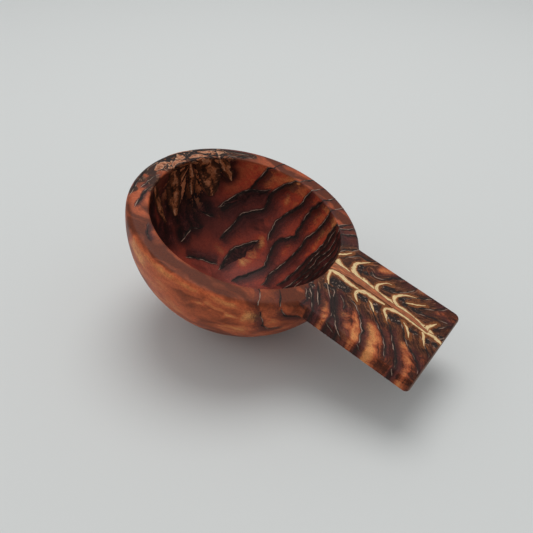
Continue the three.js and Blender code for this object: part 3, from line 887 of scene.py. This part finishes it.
class Finish:
    """A material and the shader nodes that it is built from."""

    def __init__(self, name):
        self.material = bpy.data.materials.new(name)
        self.material.use_nodes = True
        self.tree = self.material.node_tree
        self.shader = self.tree.nodes["Principled BSDF"]
        self.coordinates = self.rim_frame()

    def node(self, kind, inputs=(), **settings):
        node = self.tree.nodes.new("ShaderNode" + kind)
        for key, value in settings.items():
            setattr(node, key, value)
        for socket, value in dict(inputs).items():
            self.feed(node.inputs[socket], value)
        return node

    def feed(self, socket, value):
        if isinstance(value, bpy.types.NodeSocket):
            self.tree.links.new(value, socket)
        else:
            socket.default_value = value

    def rim_frame(self):
        """Object coordinates in millimetres, turned level with the rim."""
        place = self.node("TexCoord").outputs["Object"]
        turn = self.node("Mapping", {"Vector": place, "Rotation": (0, -sizes().lean, 0)})
        scaled = self.node("VectorMath", {0: turn.outputs[0], "Scale": 1 / MM}, operation="SCALE")
        return scaled.outputs[0]

    def attribute(self, name):
        return self.node("Attribute", attribute_name=name).outputs["Fac"]

    def math(self, operation, *values):
        return self.node("Math", dict(enumerate(values)), operation=operation).outputs[0]

    def times(self, first, second):
        return self.math("MULTIPLY", first, second)

    def pushed(self, value, noise, amount):
        """value moved up and down by a noise, which is even about a half."""
        return self.math("MULTIPLY_ADD", self.math("SUBTRACT", noise, 0.5), amount, value)

    def from_middle(self):
        """0 along the middle of a piece and 1 at either edge."""
        return self.math("ABSOLUTE", self.attribute("across"))

    def stretched(self, vector, x, y, z):
        return self.node("VectorMath", {0: vector, 1: (x, y, z)}, operation="MULTIPLY").outputs[0]

    def moved(self, vector, other, amount):
        """vector shifted by a noise colour, amount millimetres either way."""
        centred = self.node("VectorMath", {0: other, 1: (0.5, 0.5, 0.5)}, operation="SUBTRACT").outputs[0]
        push = self.node("VectorMath", {0: centred, "Scale": 2 * amount}, operation="SCALE").outputs[0]
        return self.node("VectorMath", {0: vector, 1: push}, operation="ADD").outputs[0]

    def plane(self, x, y):
        """Places on a plane: two attributes, each with the share that it is scaled by for the grain."""
        inputs = {}
        for socket, (name, share) in (("X", x), ("Y", y)):
            inputs[socket] = self.times(self.attribute(name), share)
        return self.node("CombineXYZ", inputs).outputs[0]

    def noise(self, size, vector=None, detail=3.0, roughness=0.55, distortion=0.0, output="Fac"):
        """A noise whose features are about size millimetres across."""
        node = self.node("TexNoise", {
            "Vector": self.coordinates if vector is None else vector,
            "Scale": 1 / size, "Detail": detail, "Roughness": roughness, "Distortion": distortion,
        })
        return node.outputs[output]

    def span(self, value, low, high, out_low=0.0, out_high=1.0):
        """value from low to high made smooth, from out_low to out_high."""
        node = self.node("MapRange", {
            "Value": value, "From Min": low, "From Max": high, "To Min": out_low, "To Max": out_high,
        }, interpolation_type="SMOOTHSTEP")
        return node.outputs["Result"]

    def ramp(self, value, stops):
        node = self.node("ValToRGB", {"Fac": value})
        line = node.color_ramp.elements
        while len(line) < len(stops):
            line.new(0.5)
        for mark, (place, colour) in zip(line, stops):
            mark.position = place
            mark.color = colour
        return node.outputs["Color"]

    def mix(self, amount, first, second):
        # the node keeps sockets of its other data types too: these are the ones of the colours
        return self.node("Mix", {0: amount, 6: first, 7: second}, data_type="RGBA").outputs[2]

    def bump(self, height, distance):
        return self.node("Bump", {"Height": height, "Distance": distance * MM}).outputs["Normal"]

    def surface(self, **inputs):
        for name, value in inputs.items():
            self.feed(self.shader.inputs[name.replace("_", " ")], value)


def shades(colour, *stops):
    """Stops of a ramp in one colour: where each lies and how bright it is."""
    return [(place, dimmed(colour, share)) for place, share in stops]


class ResinFinish(Finish):
    """The resin's material, with the noises that its layers share."""

    def __init__(self):
        super().__init__("amber_resin")
        warp = self.noise(8, detail=2, output="Color")
        flowing = self.moved(self.coordinates, warp, 3.5)
        drawn_far = self.stretched(flowing, 0.08, 1.0, 1.2)
        drawn_out = self.stretched(flowing, 0.5, 1.0, 1.0)
        self.streaks = self.noise(3.4, drawn_far, detail=3, roughness=0.45, distortion=0.2)
        self.clouds = self.noise(14, flowing, detail=3, roughness=0.5)
        self.wisps = self.noise(2.6, drawn_out, detail=4, roughness=0.55, distortion=0.6)
        self.fine = self.noise(0.45, detail=4, roughness=0.7)
        self.ragged = self.noise(0.9, detail=3, output="Color")
        plane = self.moved(self.plane(("scale_along", 0.16), ("scale_offset", 1)), self.ragged, 0.3)
        self.fibres = self.noise(0.75, plane, detail=5, roughness=0.65)
        flicker = self.span(self.wisps, 0.36, 0.6, 0.3, 1.1)
        self.glow = self.times(self.attribute("glow"), flicker)
        deep = self.math("ADD", self.times(self.wisps, 0.25), self.times(self.clouds, 0.75))
        self.lit = self.math("MULTIPLY_ADD", self.glow, 0.36, deep)
        self.depth = self.attribute("below_rim")
        self.inside = self.attribute("inside")
        self.ray_along = self.attribute("ray_along")

    def outer_resin(self):
        """Amber streaked with pearl, and a little painted shade on the flat top of the rim."""
        amber, pearl = colours().amber, colours().pearl
        swirl = self.math("ADD", self.times(self.streaks, 0.5), self.times(self.clouds, 0.5))
        streaked = self.times(self.attribute("glow"), self.span(self.streaks, 0.4, 0.6, 0.3, 1))
        bright = self.math("MULTIPLY_ADD", streaked, 0.2, swirl)
        # painted shade: the rim's flat top is darkened a little against the outside
        rim_top_painted_shade = self.span(self.depth, 0.03, 1.2, -0.15, 0)
        return self.ramp(self.math("ADD", rim_top_painted_shade, bright), [
            *shades(amber, (0.36, 0.26), (0.46, 0.62), (0.56, 1.08)),
            (0.66, between(amber, pearl, 0.35)), (0.8, pearl),
        ])

    def cavity_resin(self):
        """Deep red with painted light and shade: brighter towards the rim, darker deeper down, and murky
        round the cone's base.
        """
        amber, deep_red, lit_red = colours().amber, colours().deep_red, colours().lit_red
        pearl, shadow = colours().pearl, colours().shadow
        # painted light and shade: the cavity brighter just under the rim, as if lit through it, and darker
        # deeper down
        lit_towards_rim = self.math("ADD", self.lit, self.span(self.depth, 1, 19, 0.16, -0.02))
        clear = self.ramp(lit_towards_rim, [
            (0.36, dimmed(deep_red, 0.38)), (0.5, deep_red), (0.66, lit_red),
            (0.84, between(lit_red, pearl, 0.3)), (0.98, between(amber, pearl, 0.8)),
        ])
        low_down = self.span(self.depth, 4, 17, 0, 1)
        low_murk = self.times(self.span(self.ray_along, 12, 40, 0.9, 0.1), low_down)
        murk = self.math("MAXIMUM", low_murk, self.span(self.ray_along, 11, 20, 0.9, 0))
        return self.mix(murk, clear, self.ramp(self.wisps, shades(shadow, (0.35, 0.5), (0.65, 1.35))))

    def handle_resin(self):
        """Dark amber drawn out beside the scales, with paler flames."""
        amber, pearl = colours().amber, colours().pearl
        bright = self.math("MULTIPLY_ADD", self.glow, 0.07, self.lit)
        return self.ramp(self.pushed(bright, self.fibres, 0.8), [
            *shades(amber, (0.36, 0.05), (0.5, 0.2), (0.62, 0.7)),
            (0.78, between(amber, pearl, 0.22)), (1.0, between(amber, pearl, 0.7)),
        ])

    def scale_black(self):
        scale = colours().scale
        stops = [(0.35, scale), (0.6, dimmed(scale, 3.4)), (0.75, between(scale, colours().tip, 0.1))]
        return self.ramp(self.fine, stops)

    def behind_scales(self, colour):
        """Maroon in the shade of a scale, and black close to it."""
        shade = self.attribute("scale_shade")
        present = self.span(shade, 0.03, 0.3)
        uneven = self.pushed(self.pushed(shade, self.fine, 0.6), self.fibres, 0.8)
        maroon = self.ramp(self.fibres, shades(colours().shadow, (0.34, 0.25), (0.5, 1), (0.68, 2.3)))
        colour = self.mix(self.times(present, self.span(uneven, 0.15, 0.68, 0, 0.9)), colour, maroon)
        return self.mix(self.times(present, self.span(uneven, 0.74, 0.98)), colour, self.scale_black())

    def round_wood(self, colour):
        """Charred round the wood and tan right beside it."""
        base = colours().base
        charred = self.ramp(self.fibres, [
            (0.36, colours().scale), (0.48, dimmed(base, 0.12)), (0.58, dimmed(base, 0.36)),
            (0.72, dimmed(colours().tip, 0.5)),
        ])
        tan = self.ramp(self.fibres, shades(colours().wood_edge, (0.3, 0.2), (0.7, 0.95)))
        char = self.pushed(self.attribute("char"), self.fibres, 1.3)
        halo = self.pushed(self.attribute("wood"), self.fine, 0.9)
        colour = self.mix(self.span(char, 0.35, 0.75, 0, 0.9), colour, charred)
        return self.mix(self.span(halo, 0.58, 0.78), colour, tan)

    def at_roots(self, colour):
        """Cindery black with a few pale specks in the hollows at the scales' roots."""
        specks = self.noise(0.6, detail=3, roughness=0.6)
        pale = self.ramp(self.fine, shades(colours().hairline, (0.4, 0.2), (0.65, 1.2)))
        cinders = self.mix(self.span(specks, 0.56, 0.66), self.scale_black(), pale)
        hollow = self.pushed(self.attribute("root"), self.fine, 1.2)
        return self.mix(self.span(hollow, 0.4, 0.6), colour, cinders)

    def torn_rays(self, ray, rays):
        """The cone's base inside the bowl: golden splinters that turn sooty further out."""
        base, shadow = colours().base, colours().shadow
        golden = between(base, colours().tip, 0.2)
        sooty = self.ramp(self.pushed(rays, self.fine, 0.5), [
            (0.38, colours().scale), (0.53, dimmed(shadow, 0.55)), (0.65, dimmed(shadow, 1.5)),
            (0.78, dimmed(base, 0.6)),
        ])
        torn = splinters(self, ray, rays, 2.0, golden)
        return self.mix(self.span(self.ray_along, 7, 16), torn, sooty)

    def rim_lobes(self):
        """The cone's base on the rim: tan lobes that darken away from its middle and down the outside."""
        grain = self.noise(0.7, detail=5, roughness=0.68)
        places = self.stretched(self.moved(self.coordinates, self.ragged, 0.6), 1.0, 0.6, 1.0)
        lobes = splinters(self, places, grain, 2.2, colours().tip)
        away = self.span(self.pushed(self.ray_along, grain, 8), 8, 15, 0, 0.8)
        lobes = self.mix(away, lobes, dimmed(colours().base, 0.12))
        return self.mix(self.span(self.depth, 1, 4, 0, 0.85), lobes, dimmed(colours().base, 0.1))

    def round_base(self, colour):
        """The bark round the cone's base, with a softer edge inside the bowl."""
        ray = self.moved(self.plane(("ray_across", 1), ("ray_along", 0.3)), self.ragged, 0.7)
        rays = self.noise(1.7, ray, detail=5, roughness=0.62)
        bark = self.mix(self.inside, self.rim_lobes(), self.torn_rays(ray, rays))
        here = self.pushed(self.attribute("bark"), rays, 0.9)
        soft_from = self.math("MULTIPLY_ADD", self.inside, -0.14, 0.3)
        soft_to = self.math("MULTIPLY_ADD", self.inside, 0.16, 0.6)
        return self.mix(self.span(here, soft_from, soft_to), colour, bark)

    def mottled_with_pale_end(self, colour):
        """Fine dark mottling all over, and paler on the handle's end face."""
        mottle = self.noise(0.5, detail=4, roughness=0.75)
        colour = self.mix(self.span(mottle, 0.42, 0.64, 0, 0.3), colour, dimmed(colours().shadow, 0.5))
        on_end = self.times(self.attribute("end"), 0.75)
        return self.mix(on_end, colour, dimmed(colours().hairline, 0.55))


def resin_finish():
    """Amber resin with pearl swirls, dark behind each scale and black round the cone's base."""
    f = ResinFinish()
    bowl = f.mix(f.inside, f.outer_resin(), f.cavity_resin())
    colour = f.mix(f.attribute("handle"), bowl, f.handle_resin())
    for layer in (f.behind_scales, f.round_wood, f.at_roots, f.round_base, f.mottled_with_pale_end):
        colour = layer(colour)
    f.surface(Base_Color=colour, Roughness=f.span(f.fibres, 0.2, 0.8, 0.38, 0.48), Specular_IOR_Level=0.12)
    f.surface(Subsurface_Weight=0.08, Subsurface_Scale=1.2 * MM, Normal=f.bump(f.fine, 0.012))
    return f.material


def splinters(f, plane, grain, size, pale):
    """Scales of the cone's base torn into splinters, each its own brown, parted by black cracks."""
    base = colours().base
    cell = {"Vector": plane, "Scale": 1 / size, "Randomness": 1.0}
    crack = f.node("TexVoronoi", cell, feature="DISTANCE_TO_EDGE").outputs["Distance"]
    own = f.node("TexVoronoi", cell, feature="F1").outputs["Color"]
    tone = f.node("SeparateColor", {"Color": own}).outputs["Red"]
    flesh = f.ramp(f.pushed(tone, grain, 1.6), [
        *shades(base, (0.15, 0.06), (0.48, 0.28), (0.7, 0.8)),
        (0.9, between(base, pale, 0.5)), (1.0, pale),
    ])
    return f.mix(f.span(f.pushed(crack, grain, 0.5), 0.05, 0.15), colours().scale, flesh)


def scale_finish():
    """A scale's cut edge: nearly black, with a pale hairline along one side."""
    f = Finish("cut_scale")
    scale, hairline = colours().scale, colours().hairline
    cell = f.noise(0.4, detail=4, roughness=0.65)
    fibre = f.noise(0.4, f.plane(("along", 0.3), ("across", 0.5)), detail=4, roughness=0.65)
    black = f.ramp(fibre, [(0.35, scale), (0.58, dimmed(scale, 3.6)), (0.72, dimmed(hairline, 0.28))])
    soft = f.ramp(fibre, shades(colours().shadow, (0.35, 0.2), (0.52, 0.7), (0.7, 1.8)))
    body = f.mix(f.span(f.attribute("inset"), 0.5, 1.3, 0, 0.85), black, soft)
    broken = f.noise(3.4, detail=2)
    wobble = f.pushed(f.attribute("inset"), cell, 0.3)
    line = f.times(f.span(wobble, 0.25, 0.12), f.span(broken, 0.42, 0.66))
    colour = f.mix(f.times(line, 0.85), body, hairline)
    f.surface(Base_Color=colour, Roughness=0.6, Specular_IOR_Level=0.12, Normal=f.bump(cell, 0.05))
    return f.material


def wood_finish():
    """Cream wood that browns towards its edge."""
    f = Finish("cone_wood")
    wood, wood_edge = colours().wood, colours().wood_edge
    fibre = f.noise(0.2, f.plane(("along", 0.14), ("across", 0.8)), detail=4)
    ragged = f.noise(0.8, detail=4, roughness=0.65)
    edge = f.pushed(f.from_middle(), ragged, 1.3)
    cream = f.ramp(fibre, shades(wood, (0.3, 0.45), (0.48, 1), (0.7, 1.3)))
    tan = f.ramp(fibre, shades(wood_edge, (0.3, 0.34), (0.55, 1), (0.75, 1.6)))
    colour = f.mix(f.span(edge, 0.45, 0.75), cream, tan)
    colour = f.mix(f.span(edge, 1.0, 1.2), colour, dimmed(wood_edge, 0.08))
    f.surface(Base_Color=colour, Roughness=0.5, Specular_IOR_Level=0.25, Normal=f.bump(fibre, 0.015))
    return f.material


def pith_finish():
    """Reddish core with fine grain."""
    f = Finish("cone_pith")
    pith = colours().pith
    fibre = f.noise(0.28, f.plane(("along", 0.12), ("across", 1)), detail=4)
    grain = f.ramp(fibre, shades(pith, (0.32, 0.36), (0.5, 1), (0.7, 1.8)))
    colour = f.mix(f.span(f.from_middle(), 0.75, 0.95, 0, 0.8), grain, dimmed(pith, 0.25))
    f.surface(Base_Color=colour, Roughness=0.5, Specular_IOR_Level=0.25, Normal=f.bump(fibre, 0.015))
    return f.material


def basal_finish():
    """Golden brown scale with streaks down its length, dark at its torn edge."""
    f = Finish("basal_scale")
    base, tip = colours().base, colours().tip
    ragged = f.noise(1.6, detail=3, output="Color")
    lengthwise = f.moved(f.plane(("along", 0.45), ("across", 1.6)), ragged, 1.2)
    fibre = f.noise(1.8, lengthwise, detail=6, roughness=0.62)
    golden = f.ramp(f.pushed(0.5, fibre, 1.7), [
        *shades(base, (0.28, 0.05), (0.42, 0.26), (0.53, 1)),
        (0.66, between(base, tip, 0.4)), (0.82, between(base, tip, 0.9)),
    ])
    cracked = splinters(f, f.stretched(lengthwise, 0.8, 1.0, 1.0), fibre, 1.3, between(base, tip, 0.4))
    edge = f.noise(1.3, detail=4, roughness=0.6)
    dark = f.ramp(edge, [(0.4, colours().scale), (0.7, dimmed(base, 0.2))])
    at_edge = f.span(f.pushed(f.from_middle(), edge, 1.9), 0.4, 0.84)
    colour = f.mix(at_edge, f.mix(0.35, golden, cracked), dark)
    f.surface(Base_Color=colour, Roughness=0.5, Specular_IOR_Level=0.15, Normal=f.bump(fibre, 0.12))
    return f.material


def tip_finish():
    """Tan cut end of a basal scale."""
    f = Finish("scale_tip")
    base, tip = colours().base, colours().tip
    fleck = f.noise(1.1, detail=5, roughness=0.65, distortion=0.6)
    edge = f.pushed(f.from_middle(), fleck, 1.1)
    colour = f.ramp(fleck, [
        *shades(base, (0.34, 0.25), (0.46, 0.75)),
        (0.56, between(base, tip, 0.25)), (0.72, between(base, tip, 0.75)),
    ])
    colour = f.mix(f.span(edge, 0.5, 0.64, 0, 0.55), colour, dimmed(tip, 0.85))
    colour = f.mix(f.span(edge, 0.68, 0.84), colour, dimmed(colours().scale, 2))
    f.surface(Base_Color=colour, Roughness=0.55, Specular_IOR_Level=0.25, Normal=f.bump(fleck, 0.08))
    return f.material


# Pieces


def keep_piece(name, bm, finish, nodes):
    """Stands the finished mesh up in place of its CAD nodes."""
    bmesh.ops.transform(bm, matrix=to_rest(), verts=bm.verts)
    bmesh.ops.recalc_face_normals(bm, faces=bm.faces)
    for face in bm.faces:
        face.smooth = True
    piece = loose_object(name, bm)
    crease = math.radians(38)
    piece.data.set_sharp_from_angle(angle=crease)
    piece.data.materials.append(finish)
    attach(piece, "root")
    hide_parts(*nodes)
    return piece


def named_layer(bm, name):
    layers = bm.verts.layers.float
    return layers.get(name) or layers.new(name)


def plate_on(bm, skin, strand, low, high, proud=0.02, depth=0.5, columns=4, crown=0.0):
    """A closed plate along a strand on the casting's skin, from low to high across it, and sunk in."""
    across_layer, along_layer = named_layer(bm, "across"), named_layer(bm, "along")
    inset_layer = named_layer(bm, "inset")
    grain_start = 23 * strand.seed
    last = len(strand.points) - 1
    made = bmesh.ops.create_grid(bm, x_segments=last, y_segments=columns, size=1)
    inwards = {}
    for vert in made["verts"]:
        across = vert.co.y
        k = round((vert.co.x + 1) / 2 * last)
        inset = (high[k] - low[k]) * (across + 1) / 2
        place = Vector(strand.points[k]) + Vector(strand.sides[k]) * (low[k] + inset)
        found, normal, _, _ = skin.find_nearest(place)
        vert[across_layer] = across
        vert[along_layer] = grain_start + strand.gone[k]
        vert[inset_layer] = inset
        vert.co = found + normal * (proud + crown * (1 - across * across))
        inwards[vert] = -normal * depth
    faces = list({face for vert in made["verts"] for face in vert.link_faces})
    sunk = bmesh.ops.extrude_face_region(bm, geom=faces, use_keep_orig=True)
    inwards = {vert.co.to_tuple(6): move for vert, move in inwards.items()}
    for vert in sunk["geom"]:
        if isinstance(vert, bmesh.types.BMVert):
            vert.co = vert.co + inwards[vert.co.to_tuple(6)]


def built_casting():
    """The casting's surface and the strands on it, which the other pieces are laid on."""
    if not SKIN:
        raise RuntimeError("Build the resin casting first")
    return SKIN["casting"], SKIN["strands"]


def swelling(strand, half_widths, torn=0.2):
    """Both edges of a piece that swells and narrows along a strand, a little torn."""
    places = np.linspace(0, 1, len(half_widths))
    halves = np.interp(strand.gone / strand.gone[-1], places, half_widths)
    low, high = [], []
    for g, half in zip(strand.gone, halves):
        low.append(-half * (1 + torn * wander(g / 0.9, strand.seed + 11)))
        high.append(half * (1 + torn * wander(g / 0.9, strand.seed + 57)))
    return low, high


class BuildCasting(bpy.types.Operator):
    """Makes the resin bowl and handle, with the cone's marks in its skin"""

    bl_idname = "scoop.casting"
    bl_label = "Resin Casting"

    def execute(self, context):
        strands = all_strands()
        bm = casting_body()
        skin = BVHTree.FromBMesh(bm)
        points = np.array([tuple(v.co) for v in bm.verts])
        fields = casting_fields(points, strands)
        piece = keep_piece("resin_body", bm, resin_finish(), ["resin_casting"])
        for name, values in fields.items():
            layer = piece.data.attributes.new(name, "FLOAT", "POINT")
            layer.data.foreach_set("value", values.astype(np.float32))
        SKIN["casting"], SKIN["strands"] = skin, strands
        return {"FINISHED"}


class BuildScales(bpy.types.Operator):
    """Makes the cut edges of the scales"""

    bl_idname = "scoop.scales"
    bl_label = "Cut Scales"

    def execute(self, context):
        skin, strands = built_casting()
        finish = scale_finish()
        for name, group in strands.items():
            bm = bmesh.new()
            for strand in group:
                plate_on(bm, skin, strand, *strand.edges(), proud=0.02 + 0.002 * (strand.seed % 6))
            keep_piece(name + "_cut", bm, finish, [name])
        return {"FINISHED"}


class BuildWood(bpy.types.Operator):
    """Makes the wood and the pith on the handle"""

    bl_idname = "scoop.wood"
    bl_label = "Wood and Pith"

    def execute(self, context):
        skin, _ = built_casting()
        bm = bmesh.new()
        for number, (route, half_widths) in enumerate(WOOD_BANDS):
            strand = wood_strand(route)
            edges = swelling(strand, half_widths)
            plate_on(bm, skin, strand, *edges, proud=0.035 + 0.002 * number, columns=6)
        keep_piece("wood_bands", bm, wood_finish(), ["cone_wood"])
        bm = bmesh.new()
        strand = wood_strand(PITH)
        plate_on(bm, skin, strand, *swelling(strand, PITH_HALF_WIDTHS, 0.1), proud=0.08, columns=6)
        keep_piece("pith_strip", bm, pith_finish(), ["cone_pith"])
        return {"FINISHED"}


class BuildRosette(bpy.types.Operator):
    """Makes the broad scales of the cone's base and their cut ends on the rim"""

    bl_idname = "scoop.rosette"
    bl_label = "Base of the Cone"

    def execute(self, context):
        skin, _ = built_casting()
        broad = {"proud": 0.05, "columns": 10, "crown": 0.08}
        small = {"proud": 0.045, "columns": 8, "crown": 0.04}
        for table, make, torn, shape, finish, slot_name in (
            (BASAL_SCALES, wall_strand, 0.15, broad, basal_finish(), "basal_scale"),
            (ROSETTE_TIPS, rim_strand, 0.2, small, tip_finish(), "scale_tip"),
        ):
            for name, (route, half_widths) in table.items():
                bm = bmesh.new()
                strand = make(route)
                plate_on(bm, skin, strand, *swelling(strand, half_widths, torn), **shape)
                keep_piece(name + "_face", bm, finish, [name])
        return {"FINISHED"}


class BuildStage(bpy.types.Operator):
    """Makes the floor, the lights and the camera"""

    bl_idname = "scoop.stage"
    bl_label = "Stage"

    def execute(self, context):
        add_floor()
        add_light("overhead", (-0.12, 0.22, 0.75), (0, 0, 0), 2.9)
        add_light("front", (-0.35, -0.6, 0.45), (0, 0, 0.02), 0.7)
        add_sky()
        add_camera()
        context.scene.view_settings.view_transform = "Standard"
        return {"FINISHED"}


def add_floor():
    half_side = 2.5
    bm = bmesh.new()
    bmesh.ops.create_grid(bm, x_segments=1, y_segments=1, size=half_side)
    floor = loose_object("floor", bm)
    f = Finish("pale_floor")
    f.surface(Base_Color=colours().floor, Roughness=0.7)
    floor.data.materials.append(f.material)


def add_light(name, place, target, power):
    """A soft round lamp that shines on the target."""
    lamp = bpy.data.lights.new(name, "AREA")
    lamp.shape = "DISK"
    lamp.size = 0.6
    lamp.energy = power
    holder = bpy.data.objects.new(name, lamp)
    holder.location = place
    holder.rotation_euler = (Vector(target) - Vector(place)).to_track_quat("-Z", "Y").to_euler()
    bpy.context.scene.collection.objects.link(holder)


def add_sky():
    world = bpy.data.worlds.new("studio")
    world.use_nodes = True
    background = world.node_tree.nodes["Background"]
    background.inputs["Color"].default_value = (0.95, 0.98, 1, 1)
    background.inputs["Strength"].default_value = 0.56
    bpy.context.scene.world = world


def add_camera():
    """The camera as it was solved from the photograph."""
    camera = bpy.data.cameras.new("camera")
    camera.lens = 42.13
    camera.sensor_width = 36
    camera.clip_start = 0.01
    eye = bpy.data.objects.new("camera", camera)
    eye.location = (0.06957, -0.1126, 0.10935)
    eye.rotation_euler = [math.radians(turn) for turn in (55.9, -1.544, 34.8)]
    bpy.context.scene.collection.objects.link(eye)
    bpy.context.scene.camera = eye


class ScoopPanel(bpy.types.Panel):
    """Lists the steps that build the scoop"""

    bl_idname = "VIEW3D_PT_scoop"
    bl_label = "Coffee Scoop"
    bl_space_type = "VIEW_3D"
    bl_region_type = "UI"
    bl_category = "Scoop"

    def draw(self, context):
        for operator in OPERATORS:
            self.layout.operator(operator.bl_idname)
        for group in (context.scene.scoop_sizes, context.scene.scoop_colours):
            for name in type(group).__annotations__:
                self.layout.prop(group, name)


SKIN = {}
OPERATORS = (BuildStage, BuildCasting, BuildScales, BuildWood, BuildRosette)
CLASSES = (ScoopSizes, ScoopColours, *OPERATORS, ScoopPanel)


def register():
    for made in CLASSES:
        bpy.utils.register_class(made)
    bpy.types.Scene.scoop_sizes = bpy.props.PointerProperty(type=ScoopSizes)
    bpy.types.Scene.scoop_colours = bpy.props.PointerProperty(type=ScoopColours)


def unregister():
    del bpy.types.Scene.scoop_sizes
    del bpy.types.Scene.scoop_colours
    for made in reversed(CLASSES):
        bpy.utils.unregister_class(made)


def main():
    register()
    bpy.ops.scoop.stage()
    bpy.ops.scoop.casting()
    bpy.ops.scoop.scales()
    bpy.ops.scoop.wood()
    bpy.ops.scoop.rosette()


if __name__ == "__main__":
    main()
